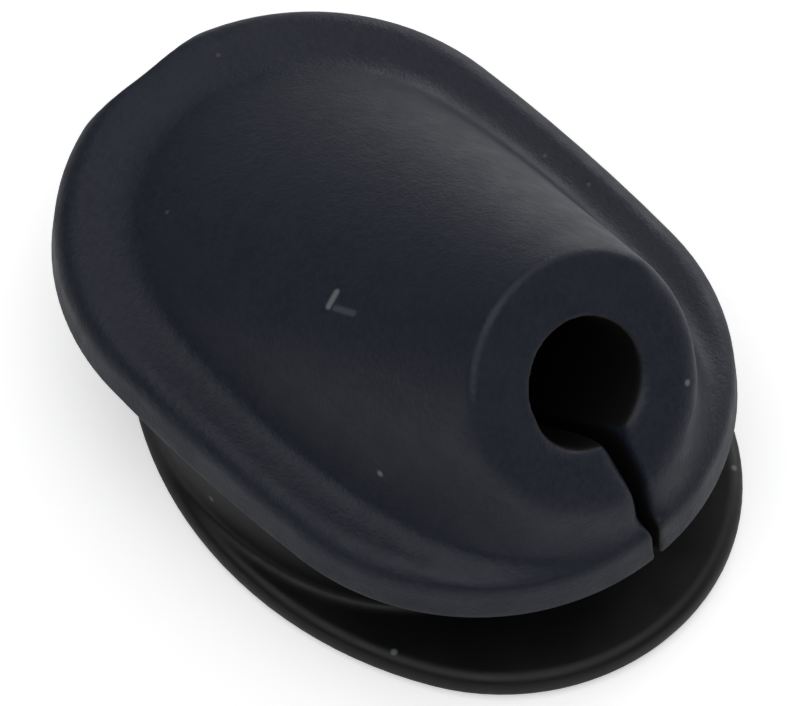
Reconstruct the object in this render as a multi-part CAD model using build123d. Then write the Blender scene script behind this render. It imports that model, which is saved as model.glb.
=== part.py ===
"""Angled rubber cable grommet, moulded in one piece, for an oval hole in a panel.

A domed cap with an oval edge sits on the outside of the panel.  A hood rises along
the cap to a flat round face near the +X end, square to a bore that leans towards +X.
A short neck fills the panel hole, and a thin lip behind the panel holds it there.
The lip reaches further at +X, so that end hooks in first.  A slit runs from the bore
out to the +X end.

Millimetres.  +Z points out of the panel, and z = 0 is the panel's outer face, under
the cap.  The origin is the centre of the panel hole, and Y = 0 is the plane of symmetry.
"""
from build123d import *
from math import atan2, cos, radians, sin
import os

# Bore, a light squeeze on a 5 mm cable or hose
bore_diameter = 4.8
bore_lean = 50.0            # degrees from +Z towards +X
face_x = 9.6                # centre of the round face, on the bore's axis
face_z = 7.5
face_radius = 4.85          # outer radius of the round face, before its edge is rounded
face_edge_round = 0.35
face_join = 55.0            # degrees from the face's low end to where the hood's sides meet it

# Cap, outside the panel
cap_length = 27.7
cap_width = 19.3
cap_end_radius = 9.5
cap_offset = -0.4           # cap centre from the hole's centre, along X
cap_edge_height = 2.2
cap_draft = 5.0             # degrees
cap_top_round = 0.9
cap_bottom_round = 0.25
gate_flat_depth = 0.65      # flat across the -X end of the cap, at the mould's gate

# Hood's footprint on the cap
hood_base_z = 1.7
hood_base_start = -12.3     # -X end of the footprint
hood_base_end = 13.0        # +X end of the footprint
hood_base_width = 15.2
hood_base_end_radius = 7.2

# Neck, in the panel hole
neck_length = 19.4
neck_width = 17.6
neck_end_radius = 8.7
groove_width = 3.9

# Lip, behind the panel
lip_length = 24.4
lip_width = 19.4
lip_end_radius = 8.8
lip_offset = 1.9
lip_thickness = 1.2
lip_edge_round = 0.5

# Slit, a narrow V that closes at the lip
slit_width_at_face = 0.82

overlap = 0.5               # how far pieces run into each other before they are fused
beyond = 40.0               # clear of the whole part


def four_arcs(end_x, side_y, join_x, join_y):
    """Closed face of four arcs through its ends, its sides and the joins between them."""
    arcs = [
        ThreePointArc((join_x, -join_y), (end_x, 0), (join_x, join_y)),
        ThreePointArc((join_x, join_y), (0, side_y), (-join_x, join_y)),
        ThreePointArc((-join_x, join_y), (-end_x, 0), (-join_x, -join_y)),
        ThreePointArc((-join_x, -join_y), (0, -side_y), (join_x, -join_y)),
    ]
    return Face(Wire(arcs))


def oval(length, width, end_radius):
    """Oval face with two round ends and two gently bulged sides, tangent where they join."""
    a = length / 2
    b = width / 2
    end_centre = a - end_radius
    side_radius = (end_centre**2 + b**2 - end_radius**2) / (2 * (b - end_radius))
    turn = atan2(side_radius - b, end_centre)
    return four_arcs(a, b, end_centre + end_radius * cos(turn), end_radius * sin(turn))


def round_face(radius):
    """Round face in four arcs, so that the hood's sides run from the footprint's sides."""
    turn = radians(face_join)
    return four_arcs(radius, radius, radius * cos(turn), radius * sin(turn))


def bore_plane():
    """Plane of the round face: z_dir is the bore's axis, x_dir runs down the face towards +X."""
    lean = radians(bore_lean)
    return Plane(
        origin=(face_x, 0, face_z),
        x_dir=(cos(lean), 0, -sin(lean)),
        z_dir=(sin(lean), 0, cos(lean)),
    )


def cap_edge():
    """Oval base of the cap with a drafted wall, rounded edges and the gate flat."""
    outline = Pos(cap_offset, 0, 0) * oval(cap_length, cap_width, cap_end_radius)
    body = extrude(outline, amount=cap_edge_height, taper=cap_draft)
    body = fillet(body.faces().sort_by(Axis.Z)[-1].edges(), cap_top_round)
    body = fillet(body.faces().sort_by(Axis.Z)[0].edges(), cap_bottom_round)
    flat_x = cap_offset - cap_length / 2 + gate_flat_depth
    return body - Pos(flat_x - beyond / 2, 0, 0) * Box(beyond, beyond, beyond)


def hood():
    """Hood that runs from its oval footprint on the cap up to the round face."""
    base_length = hood_base_end - hood_base_start
    base_centre = (hood_base_end + hood_base_start) / 2
    base = Pos(base_centre, 0, hood_base_z) * oval(base_length, hood_base_width, hood_base_end_radius)
    face = bore_plane() * round_face(face_radius)
    body = loft([base, face], ruled=True)
    axis = Axis((0, 0, 0), tuple(bore_plane().z_dir))
    rim = body.faces().sort_by(axis)[-1].edges()
    return fillet(rim, face_edge_round)


def neck():
    outline = Pos(0, 0, -groove_width - overlap) * oval(neck_length, neck_width, neck_end_radius)
    return extrude(outline, amount=groove_width + 2 * overlap)


def lip():
    bottom_z = -groove_width - lip_thickness
    outline = Pos(lip_offset, 0, bottom_z) * oval(lip_length, lip_width, lip_end_radius)
    body = extrude(outline, amount=lip_thickness)
    rims = body.faces().sort_by(Axis.Z)[-1].edges() + body.faces().sort_by(Axis.Z)[0].edges()
    return fillet(rims, lip_edge_round)


def bore():
    return bore_plane() * Cylinder(bore_diameter / 2, 2 * beyond)


def slit():
    """V-shaped cut in the plane of symmetry, from the bore's axis to the +X side."""
    apex_z = -groove_width
    growth = slit_width_at_face / (face_z - apex_z)
    top_z = 2 * face_z
    half_top = growth * (top_z - apex_z) / 2
    section = Plane.YZ * make_face(Polyline((0, apex_z), (half_top, top_z), (-half_top, top_z), close=True))
    wedge = extrude(section, amount=beyond, both=True)
    outer_side = bore_plane() * Pos(beyond / 2, 0, 0) * Box(beyond, beyond, 2 * beyond)
    return wedge & outer_side


def grommet():
    body = cap_edge() + hood() + neck() + lip()
    return body - bore() - slit()


os.makedirs("parts", exist_ok=True)
part = grommet()
export_step(part, "parts/grommet.step")
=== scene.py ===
import math

import bpy
import numpy as np
from mathutils import Matrix, Vector
from mathutils.bvhtree import BVHTree


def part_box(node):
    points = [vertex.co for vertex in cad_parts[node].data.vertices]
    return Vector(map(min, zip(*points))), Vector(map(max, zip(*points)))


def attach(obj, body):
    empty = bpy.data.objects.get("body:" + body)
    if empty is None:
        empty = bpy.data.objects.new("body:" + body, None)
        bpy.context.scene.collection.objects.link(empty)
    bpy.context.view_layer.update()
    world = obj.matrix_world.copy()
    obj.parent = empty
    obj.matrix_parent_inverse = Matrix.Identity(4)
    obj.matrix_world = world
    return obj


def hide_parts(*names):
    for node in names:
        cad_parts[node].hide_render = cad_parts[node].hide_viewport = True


MM = 0.001
WHITE = (1, 1, 1, 1)

# Camera: almost parallel, looking down on the cap from the side of the slit
CAMERA_AZIMUTH = 46.3       # degrees from -Y towards +X
CAMERA_ELEVATION = 58.0
CAMERA_DISTANCE = 600 * MM
PICTURE_WIDTH = 29.09 * MM  # width of the view at the part
SENSOR_WIDTH = 36.0
AIM_RIGHT = -0.04 * MM      # where the camera aims, from the origin, in its own plane
AIM_UP = -0.84 * MM
NEAREST = 0.01              # ends of the camera's depth, metres
FARTHEST = 50

# Softboxes: name, direction from the part, distance and side in metres, power in watts
SOFTBOXES = (
    ("key", (0.15, -0.22, 1.0), 1.1, 1.7, 9.5),
    ("far_side", (-0.3, 1.0, 0.22), 0.9, 0.8, 4.5),
    ("far_right", (0.5, 1.0, 0.15), 0.9, 0.5, 0.5),
)

# Light from all round: its strength low down and overhead, and where it changes, by the direction's Z
ROUND_LOW = 0.06
ROUND_HIGH = 0.24
ROUND_CHANGE_START = 0.1
ROUND_CHANGE_END = 0.8

# Floor
FLOOR_SIZE = 6.0            # metres
FLOOR_GAP = 0.02 * MM       # below the lip, so that the two faces don't coincide
FLOOR_COLOUR = (0.92, 0.92, 0.93, 1)
FLOOR_LIFT = 0.45           # brightness added for the camera only

# Visual mesh, millimetres
VOXEL = 0.1
TRIANGLES = 180000
EVEN_SHARE = 0.5            # how far a point moves towards its neighbours' mean in one round
FIRST_SMOOTHING = 3         # rounds, before the points go back onto the CAD surface
LAST_SMOOTHING = 2
FOOT_SMOOTHING = 100
FOOT_REACH = 0.9            # each side of the hood's foot
FOOT_REACH_AT_FACE = 1.9    # and at the +X end, where the hood runs into the cap's end wall
FOOT_WIDENS_FROM = 5        # places along X between which the reach grows
FOOT_WIDENS_TO = 12
FOOT_LOW = 1.75             # heights between which the blend sets in
FOOT_HIGH = 2.1
JUNCTION_SMOOTHING = 25
JUNCTION_REACH = 0.7        # each side of the corner between neck and lip

# The hood's footprint on the cap, millimetres, as in the CAD model
FOOT_CENTRE_X = 0.35
FOOT_HALF_LENGTH = 12.65
FOOT_HALF_WIDTH = 7.6

# Neck and lip, millimetres, as in the CAD model
NECK_HALF_LENGTH = 9.7
NECK_HALF_WIDTH = 8.8
LIP_TOP_Z = -3.9

# Bore and slit, millimetres, as in the CAD model
BORE_LEAN = 50.0            # degrees from +Z towards +X
BORE_RADIUS = 2.4
FACE_X = 9.6
FACE_Z = 7.5
SLIT_APEX_Z = -3.9
SLIT_WIDTH_AT_FACE = 0.82

# Soft borders between the rubber's finishes and colours, each from and to, millimetres; the darker black
# below the cap and in the bore and slit is partly painted shade
CAP_BORDER = (-0.1, 0.15)   # heights, at the cap's lower face
LIP_BORDER = (LIP_TOP_Z + 0.1, LIP_TOP_Z + 0.3)
BORE_BORDER = (BORE_RADIUS + 0.02, BORE_RADIUS + 0.15)
SLIT_BORDER = (0.02, 0.12)  # past the slit's walls
SLIT_START = (0, 0.5)       # outwards from the bore's axis

# Rubber: base colours, roughness and the sizes of its noise, in cells per metre
CAP_DARK = (0.005, 0.0075, 0.0178, 1)
CAP_LIGHT = (0.0075, 0.0105, 0.0217, 1)
CAP_GRAIN = (0.0098, 0.0128, 0.0237, 1)
# Below the cap: a darker, neutral black, partly the smoother rubber's own black and partly painted shade
# under the cap
LOW_BLACK_AND_SHADE = (0.0035, 0.0038, 0.0046, 1)
# In the bore and the slit: a black darker than the cap's, partly the smooth core-pin surface and partly
# painted shade in the hole and slit
INSIDE_BLACK_AND_SHADE = (0.0055, 0.0054, 0.005, 1)
# Light grey of the lint and dust, also of one painted glint spot
MARK_AND_GLINT_GREY = (0.14, 0.15, 0.16, 1)
CAP_ROUGHNESS = (0.44, 0.54)
LIP_ROUGHNESS = (0.4, 0.48)
NECK_ROUGHNESS = 0.5
SPECULAR = 0.37
PATCH_SCALE = 220
MOTTLE_SCALE = 4200
CAP_GLOSS_SCALE = 900
LIP_GLOSS_SCALE = 500
FINE_GRAIN_SCALE = 9000
COARSE_GRAIN_SCALE = 3500
NOISE_RANGE = (0.3, 0.7)    # the part of a noise's range that is used
MOTTLE_RANGE = (0.35, 0.65)
GRAIN_HEIGHT = 0.045        # millimetres
GRAIN_ON_CAP = 0.4          # strength
GRAIN_BELOW = 0.08

# Marks on the surface, millimetres: lint from start to end, specks of dust, and one painted glint spot
# among them
LINT = ((0.6, -4.2, 6.95), (0.5, -3.7, 7.2))
FAINT_LINT = ((0.9, -4.15, 7.1), (1.7, -4.0, 7.5))
LINT_STEPS = 9
LINT_RADIUS = 0.2
# The third spot, on the neck just under the cap's lower edge, is a painted highlight where that edge
# glints; the rest are dust
DUST_AND_GLINT = [(5.6, -6.4, 3.8), (11.2, 3.5, 5.5), (-0.8, -8.8, -2.8), (10.9, 6.4, -3.9), (8.0, -8.0, -3.9)]
DUST_AND_GLINT_RADIUS = 0.18
FINE_DUST = [(-12.2, 2.4, 2.2), (-0.8, 8.0, 2.2), (1.2, 8.3, 2.2), (-8.1, -4.0, 3.1), (3.0, 7.0, 3.2)]
FINE_DUST_RADIUS = 0.12
FAINT_SHARE = 0.3           # how strongly the faint lint and the fine dust show
SPOT_CORE = 0.25            # share of a spot's radius that is at full strength


def make_camera():
    azimuth = math.radians(CAMERA_AZIMUTH)
    elevation = math.radians(CAMERA_ELEVATION)
    right = Vector((math.cos(azimuth), math.sin(azimuth), 0))
    back = Vector((
        math.cos(elevation) * math.sin(azimuth),
        -math.cos(elevation) * math.cos(azimuth),
        math.sin(elevation),
    ))
    up = back.cross(right)
    data = bpy.data.cameras.new("camera")
    data.sensor_width = SENSOR_WIDTH
    data.lens = SENSOR_WIDTH * CAMERA_DISTANCE / PICTURE_WIDTH
    data.clip_start = NEAREST
    data.clip_end = FARTHEST
    camera = bpy.data.objects.new("camera", data)
    turn = Matrix((right, up, back)).transposed().to_4x4()
    turn.translation = right * AIM_RIGHT + up * AIM_UP + back * CAMERA_DISTANCE
    camera.matrix_world = turn
    bpy.context.scene.collection.objects.link(camera)
    bpy.context.scene.camera = camera


def softbox(name, direction, distance, size, power):
    """Square area light that faces the part from a direction."""
    data = bpy.data.lights.new(name, "AREA")
    data.shape = "SQUARE"
    data.size = size
    data.energy = power
    light = bpy.data.objects.new(name, data)
    towards = Vector(direction).normalized()
    turn = towards.to_track_quat("Z", "Y").to_matrix().to_4x4()
    light.matrix_world = Matrix.Translation(towards * distance) @ turn
    bpy.context.scene.collection.objects.link(light)


def make_lights():
    for name, direction, distance, size, power in SOFTBOXES:
        softbox(name, direction, distance, size, power)


def make_world():
    """White to the camera; to the part, dim low down at the sides and brighter overhead."""
    world = bpy.data.worlds.new("studio")
    bpy.context.scene.world = world
    world.use_nodes = True
    tree = world.node_tree
    nodes = tree.nodes
    nodes.clear()
    place = nodes.new("ShaderNodeTexCoord")
    split = nodes.new("ShaderNodeSeparateXYZ")
    rise = nodes.new("ShaderNodeMapRange")
    rise.interpolation_type = "SMOOTHSTEP"
    rise.inputs["From Min"].default_value = ROUND_CHANGE_START
    rise.inputs["From Max"].default_value = ROUND_CHANGE_END
    rise.inputs["To Min"].default_value = ROUND_LOW
    rise.inputs["To Max"].default_value = ROUND_HIGH
    studio = nodes.new("ShaderNodeBackground")
    studio.inputs["Color"].default_value = WHITE
    white = nodes.new("ShaderNodeBackground")
    white.inputs["Color"].default_value = WHITE
    path = nodes.new("ShaderNodeLightPath")
    choose = nodes.new("ShaderNodeMixShader")
    output = nodes.new("ShaderNodeOutputWorld")
    tree.links.new(place.outputs["Generated"], split.inputs[0])
    tree.links.new(split.outputs["Z"], rise.inputs["Value"])
    tree.links.new(rise.outputs["Result"], studio.inputs["Strength"])
    tree.links.new(path.outputs["Is Camera Ray"], choose.inputs[0])
    tree.links.new(studio.outputs[0], choose.inputs[1])
    tree.links.new(white.outputs[0], choose.inputs[2])
    tree.links.new(choose.outputs[0], output.inputs["Surface"])


def floor_material():
    """Pale grey to the part; to the camera, white with the part's soft shadow."""
    material = bpy.data.materials.new("floor")
    material.use_nodes = True
    tree = material.node_tree
    nodes = tree.nodes
    nodes.clear()
    grey = nodes.new("ShaderNodeBsdfDiffuse")
    grey.inputs["Color"].default_value = FLOOR_COLOUR
    lift = nodes.new("ShaderNodeEmission")
    lift.inputs["Strength"].default_value = FLOOR_LIFT
    path = nodes.new("ShaderNodeLightPath")
    nothing = nodes.new("ShaderNodeEmission")
    nothing.inputs["Strength"].default_value = 0
    choose = nodes.new("ShaderNodeMixShader")
    add = nodes.new("ShaderNodeAddShader")
    output = nodes.new("ShaderNodeOutputMaterial")
    tree.links.new(path.outputs["Is Camera Ray"], choose.inputs[0])
    tree.links.new(nothing.outputs[0], choose.inputs[1])
    tree.links.new(lift.outputs[0], choose.inputs[2])
    tree.links.new(choose.outputs[0], add.inputs[0])
    tree.links.new(grey.outputs[0], add.inputs[1])
    tree.links.new(add.outputs[0], output.inputs["Surface"])
    return material


def make_floor(height):
    bpy.ops.mesh.primitive_plane_add(size=FLOOR_SIZE, location=(0, 0, height))
    floor = bpy.context.object
    floor.name = "floor"
    floor.data.materials.append(floor_material())


def even_mesh(work):
    """Mesh of small even faces over the shape of a work object."""
    remesh = work.modifiers.new("even", "REMESH")
    remesh.mode = "VOXEL"
    remesh.voxel_size = VOXEL
    graph = bpy.context.evaluated_depsgraph_get()
    return bpy.data.meshes.new_from_object(work.evaluated_get(graph))


def points_and_edges(mesh):
    """Points of a mesh, and the pairs of points that its edges join, as arrays."""
    points = np.empty(len(mesh.vertices) * 3)
    mesh.vertices.foreach_get("co", points)
    edges = np.empty(len(mesh.edges) * 2, np.int64)
    mesh.edges.foreach_get("vertices", edges)
    return points.reshape(-1, 3), edges.reshape(-1, 2)


def smooth_points(points, edges, rounds, share):
    """Moves each point towards the mean of its neighbours, by its own share, for some rounds."""
    neighbours = np.bincount(edges.ravel(), minlength=len(points))[:, None]
    for _ in range(rounds):
        total = np.zeros_like(points)
        for axis in range(3):
            total[:, axis] = (
                np.bincount(edges[:, 0], points[edges[:, 1], axis], len(points))
                + np.bincount(edges[:, 1], points[edges[:, 0], axis], len(points))
            )
        points = points + share[:, None] * (total / neighbours - points)
    return points


def smooth_step(values, low, high):
    t = np.clip((values - low) / (high - low), 0, 1)
    return t * t * (3 - 2 * t)


def onto_surface(points, surface):
    """Nearest place on the surface for each point."""
    return np.array([surface.find_nearest(point)[0] for point in points])


def from_oval(points, centre_x, half_length, half_width):
    """Distance of each point from an upright oval, about, in plan."""
    x = (points[:, 0] - centre_x) / half_length
    y = points[:, 1] / half_width
    return np.abs(np.sqrt(x * x + y * y) - 1) * half_width


def foot_share(points):
    """Share of the smoothing for each point: highest along the line where the hood meets the cap."""
    from_line = from_oval(points, FOOT_CENTRE_X, FOOT_HALF_LENGTH, FOOT_HALF_WIDTH)
    at_face = smooth_step(points[:, 0], FOOT_WIDENS_FROM, FOOT_WIDENS_TO)
    reach = FOOT_REACH + at_face * (FOOT_REACH_AT_FACE - FOOT_REACH)
    near_line = 1 - smooth_step(from_line / reach, 0.4, 1)
    above = smooth_step(points[:, 2], FOOT_LOW, FOOT_HIGH)
    return EVEN_SHARE * near_line * above


def junction_share(points):
    """Share of the smoothing for each point: highest in the corner between the neck and the lip."""
    from_neck = from_oval(points, 0, NECK_HALF_LENGTH, NECK_HALF_WIDTH)
    from_lip = np.abs(points[:, 2] - LIP_TOP_Z)
    near_neck = 1 - smooth_step(from_neck, 0.5 * JUNCTION_REACH, JUNCTION_REACH)
    near_lip = 1 - smooth_step(from_lip, 0.5 * JUNCTION_REACH, JUNCTION_REACH)
    return EVEN_SHARE * near_neck * near_lip


def blend_points(points, edges, surface):
    """Points on the CAD surface, but with soft blends at the hood's foot and in the neck's corner."""
    even = np.full(len(points), EVEN_SHARE)
    points = smooth_points(points, edges, FIRST_SMOOTHING, even)
    points = onto_surface(points, surface)
    points = smooth_points(points, edges, FOOT_SMOOTHING, foot_share(points))
    points = smooth_points(points, edges, JUNCTION_SMOOTHING, junction_share(points))
    return smooth_points(points, edges, LAST_SMOOTHING, even)


def thin_out(mesh):
    """Fewer triangles where the surface is flat."""
    work = bpy.data.objects.new("thin_work", mesh)
    bpy.context.scene.collection.objects.link(work)
    modifier = work.modifiers.new("thin", "DECIMATE")
    modifier.ratio = TRIANGLES / sum(len(p.vertices) - 2 for p in mesh.polygons)
    graph = bpy.context.evaluated_depsgraph_get()
    thinned = bpy.data.meshes.new_from_object(work.evaluated_get(graph))
    bpy.data.objects.remove(work)
    return thinned


def body_mesh(node):
    """Visual mesh of the grommet, kept inside the CAD node's box. It is worked out in millimetres."""
    work = bpy.data.objects.new("even_work", node.data.copy())
    work.data.transform(Matrix.Scale(1 / MM, 4))
    bpy.context.scene.collection.objects.link(work)
    surface = BVHTree.FromPolygons(
        [v.co.copy() for v in work.data.vertices],
        [tuple(p.vertices) for p in work.data.polygons],
    )
    mesh = even_mesh(work)
    bpy.data.objects.remove(work)
    points, edges = points_and_edges(mesh)
    points = blend_points(points, edges, surface)
    lowest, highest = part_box("grommet")
    points = np.clip(points * MM, np.array(lowest), np.array(highest))
    mesh.vertices.foreach_set("co", points.ravel())
    mesh = thin_out(mesh)
    mesh.polygons.foreach_set("use_smooth", np.ones(len(mesh.polygons), bool))
    mesh.update()
    return mesh


def make_body(node):
    mesh = body_mesh(node)
    mesh.materials.clear()
    mesh.materials.append(rubber())
    body = bpy.data.objects.new("grommet_body", mesh)
    bpy.context.scene.collection.objects.link(body)
    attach(body, "root")
    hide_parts("grommet")


class Tree:
    """Short ways to add nodes to a material's node tree."""

    def __init__(self, material):
        material.use_nodes = True
        self.nodes = material.node_tree.nodes
        self.links = material.node_tree.links

    def noise(self, place, scale, detail):
        texture = self.nodes.new("ShaderNodeTexNoise")
        texture.inputs["Scale"].default_value = scale
        texture.inputs["Detail"].default_value = detail
        self.links.new(place, texture.inputs["Vector"])
        return texture.outputs["Fac"]

    def remap(self, value, span, low, high):
        """Value moved from a span, its ends eased, to between low and high."""
        node = self.nodes.new("ShaderNodeMapRange")
        node.interpolation_type = "SMOOTHSTEP"
        node.inputs["From Min"].default_value = span[0]
        node.inputs["From Max"].default_value = span[1]
        node.inputs["To Min"].default_value = low
        node.inputs["To Max"].default_value = high
        self.links.new(value, node.inputs["Value"])
        return node.outputs["Result"]

    def border(self, value, span, low, high):
        """Remap of a place or a distance, over a span in millimetres."""
        return self.remap(value, (span[0] * MM, span[1] * MM), low, high)

    def calculate(self, operation, a, b=0):
        """One math node. Each input is a socket or a number."""
        node = self.nodes.new("ShaderNodeMath")
        node.operation = operation
        for socket, value in zip(node.inputs, (a, b)):
            if isinstance(value, (int, float)):
                socket.default_value = value
            else:
                self.links.new(value, socket)
        return node.outputs[0]

    def minus(self, a, b):
        return self.calculate("SUBTRACT", a, b)

    def times(self, a, b):
        return self.calculate("MULTIPLY", a, b)

    def larger(self, a, b):
        return self.calculate("MAXIMUM", a, b)

    def distance(self, place, point):
        node = self.nodes.new("ShaderNodeVectorMath")
        node.operation = "DISTANCE"
        node.inputs[1].default_value = [c * MM for c in point]
        self.links.new(place, node.inputs[0])
        return node.outputs["Value"]

    def mix(self, factor, a, b, kind="RGBA"):
        """Mix of two colours, or of two values where kind is FLOAT. Each is a socket or a constant."""
        node = self.nodes.new("ShaderNodeMix")
        node.data_type = kind
        self.links.new(factor, node.inputs["Factor"])
        for name, value in (("A", a), ("B", b)):
            if isinstance(value, (int, float, tuple)):
                node.inputs[name].default_value = value
            else:
                self.links.new(value, node.inputs[name])
        return node.outputs["Result"]


def inside_mask(tree, split, over_lip):
    """1 on the walls of the bore and the slit, 0 elsewhere."""
    lean = math.radians(BORE_LEAN)
    x_from_face = tree.minus(split.outputs["X"], FACE_X * MM)
    z_from_face = tree.minus(split.outputs["Z"], FACE_Z * MM)
    across = tree.minus(tree.times(x_from_face, math.cos(lean)), tree.times(z_from_face, math.sin(lean)))
    side = tree.calculate("ABSOLUTE", split.outputs["Y"])
    square = tree.calculate("ADD", tree.times(across, across), tree.times(side, side))
    in_bore = tree.border(tree.calculate("SQRT", square), BORE_BORDER, 1, 0)
    growth = SLIT_WIDTH_AT_FACE / (FACE_Z - SLIT_APEX_Z) / 2
    half_width = tree.times(tree.minus(split.outputs["Z"], SLIT_APEX_Z * MM), growth)
    by_wall = tree.border(tree.minus(side, half_width), SLIT_BORDER, 1, 0)
    outwards = tree.border(across, SLIT_START, 0, 1)
    in_slit = tree.times(tree.times(by_wall, outwards), over_lip)
    return tree.larger(in_bore, in_slit)


def stroke(start, end):
    """Points along a short straight mark."""
    return [Vector(start).lerp(Vector(end), step / LINT_STEPS) for step in range(LINT_STEPS + 1)]


def spots(tree, place, points, radius):
    """1 within a small distance of any of the points, 0 elsewhere."""
    mask = None
    for point in points:
        near = tree.border(tree.distance(place, point), (SPOT_CORE * radius, radius), 1, 0)
        mask = near if mask is None else tree.larger(mask, near)
    return mask


def marks_and_glint_mask(tree, place):
    """Lint, dust and one painted glint spot: 1 on the plain marks, less on the faint ones, 0 elsewhere."""
    lint = spots(tree, place, stroke(*LINT), LINT_RADIUS)
    plain = tree.larger(lint, spots(tree, place, DUST_AND_GLINT, DUST_AND_GLINT_RADIUS))
    faint_lint = spots(tree, place, stroke(*FAINT_LINT), LINT_RADIUS)
    faint = tree.larger(faint_lint, spots(tree, place, FINE_DUST, FINE_DUST_RADIUS))
    return tree.larger(plain, tree.times(faint, FAINT_SHARE))


def rubber_colour(tree, place, on_cap, inside):
    """Uneven blue-black on the cap and hood, plain black on the rest, partly painted shade under the cap
    and in the bore and slit, and the marks over both, one of them a painted glint spot.
    """
    patches = tree.remap(tree.noise(place, PATCH_SCALE, 5), NOISE_RANGE, 0, 1)
    tone = tree.mix(patches, CAP_DARK, CAP_LIGHT)
    mottle = tree.remap(tree.noise(place, MOTTLE_SCALE, 2), MOTTLE_RANGE, 0, 1)
    cap_colour = tree.mix(mottle, tone, CAP_GRAIN)
    # Darker black below the cap and in the bore and slit, partly painted shade
    low_colour_and_shade = tree.mix(inside, LOW_BLACK_AND_SHADE, INSIDE_BLACK_AND_SHADE)
    clean = tree.mix(on_cap, low_colour_and_shade, cap_colour)
    return tree.mix(marks_and_glint_mask(tree, place), clean, MARK_AND_GLINT_GREY)


def rubber_roughness(tree, place, on_cap, over_lip):
    cap = tree.remap(tree.noise(place, CAP_GLOSS_SCALE, 3), NOISE_RANGE, *CAP_ROUGHNESS)
    lip = tree.remap(tree.noise(place, LIP_GLOSS_SCALE, 3), NOISE_RANGE, *LIP_ROUGHNESS)
    low = tree.mix(over_lip, lip, NECK_ROUGHNESS, "FLOAT")
    return tree.mix(on_cap, low, cap, "FLOAT")


def rubber_grain(tree, place, on_cap):
    """Fine grain, strong on the cap and hood and weak on the rest."""
    fine = tree.noise(place, FINE_GRAIN_SCALE, 2)
    coarse = tree.noise(place, COARSE_GRAIN_SCALE, 2)
    bump = tree.nodes.new("ShaderNodeBump")
    bump.inputs["Distance"].default_value = GRAIN_HEIGHT * MM
    tree.links.new(tree.calculate("ADD", fine, coarse), bump.inputs["Height"])
    tree.links.new(tree.remap(on_cap, (0, 1), GRAIN_BELOW, GRAIN_ON_CAP), bump.inputs["Strength"])
    return bump.outputs["Normal"]


def rubber():
    """Black moulded rubber: grainy on the cap and hood, smoother below and inside, glossiest on the lip;
    its darker black below the cap and in the bore and slit is partly painted shade.
    """
    material = bpy.data.materials.new("black_rubber")
    tree = Tree(material)
    shader = tree.nodes["Principled BSDF"]
    shader.inputs["Specular IOR Level"].default_value = SPECULAR
    place = tree.nodes.new("ShaderNodeTexCoord").outputs["Object"]
    split = tree.nodes.new("ShaderNodeSeparateXYZ")
    tree.links.new(place, split.inputs[0])
    over_lip = tree.border(split.outputs["Z"], LIP_BORDER, 0, 1)
    inside = inside_mask(tree, split, over_lip)
    # Below the cap's lower face and in the bore and slit the colour goes to the darker black, which is
    # partly painted shade
    above = tree.border(split.outputs["Z"], CAP_BORDER, 0, 1)
    on_cap = tree.times(above, tree.minus(1.0, inside))
    tree.links.new(rubber_colour(tree, place, on_cap, inside), shader.inputs["Base Color"])
    tree.links.new(rubber_roughness(tree, place, on_cap, over_lip), shader.inputs["Roughness"])
    tree.links.new(rubber_grain(tree, place, on_cap), shader.inputs["Normal"])
    return material


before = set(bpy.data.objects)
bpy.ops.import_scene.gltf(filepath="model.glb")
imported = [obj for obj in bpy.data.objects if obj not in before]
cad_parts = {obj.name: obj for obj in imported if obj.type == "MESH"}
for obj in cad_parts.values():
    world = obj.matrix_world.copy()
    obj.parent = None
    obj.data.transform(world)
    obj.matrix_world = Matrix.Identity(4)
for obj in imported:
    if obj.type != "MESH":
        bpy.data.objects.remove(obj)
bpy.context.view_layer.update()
make_body(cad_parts["grommet"])
make_floor(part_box("grommet")[0].z - FLOOR_GAP)
make_world()
make_lights()
make_camera()
bpy.context.scene.view_settings.view_transform = "Standard"
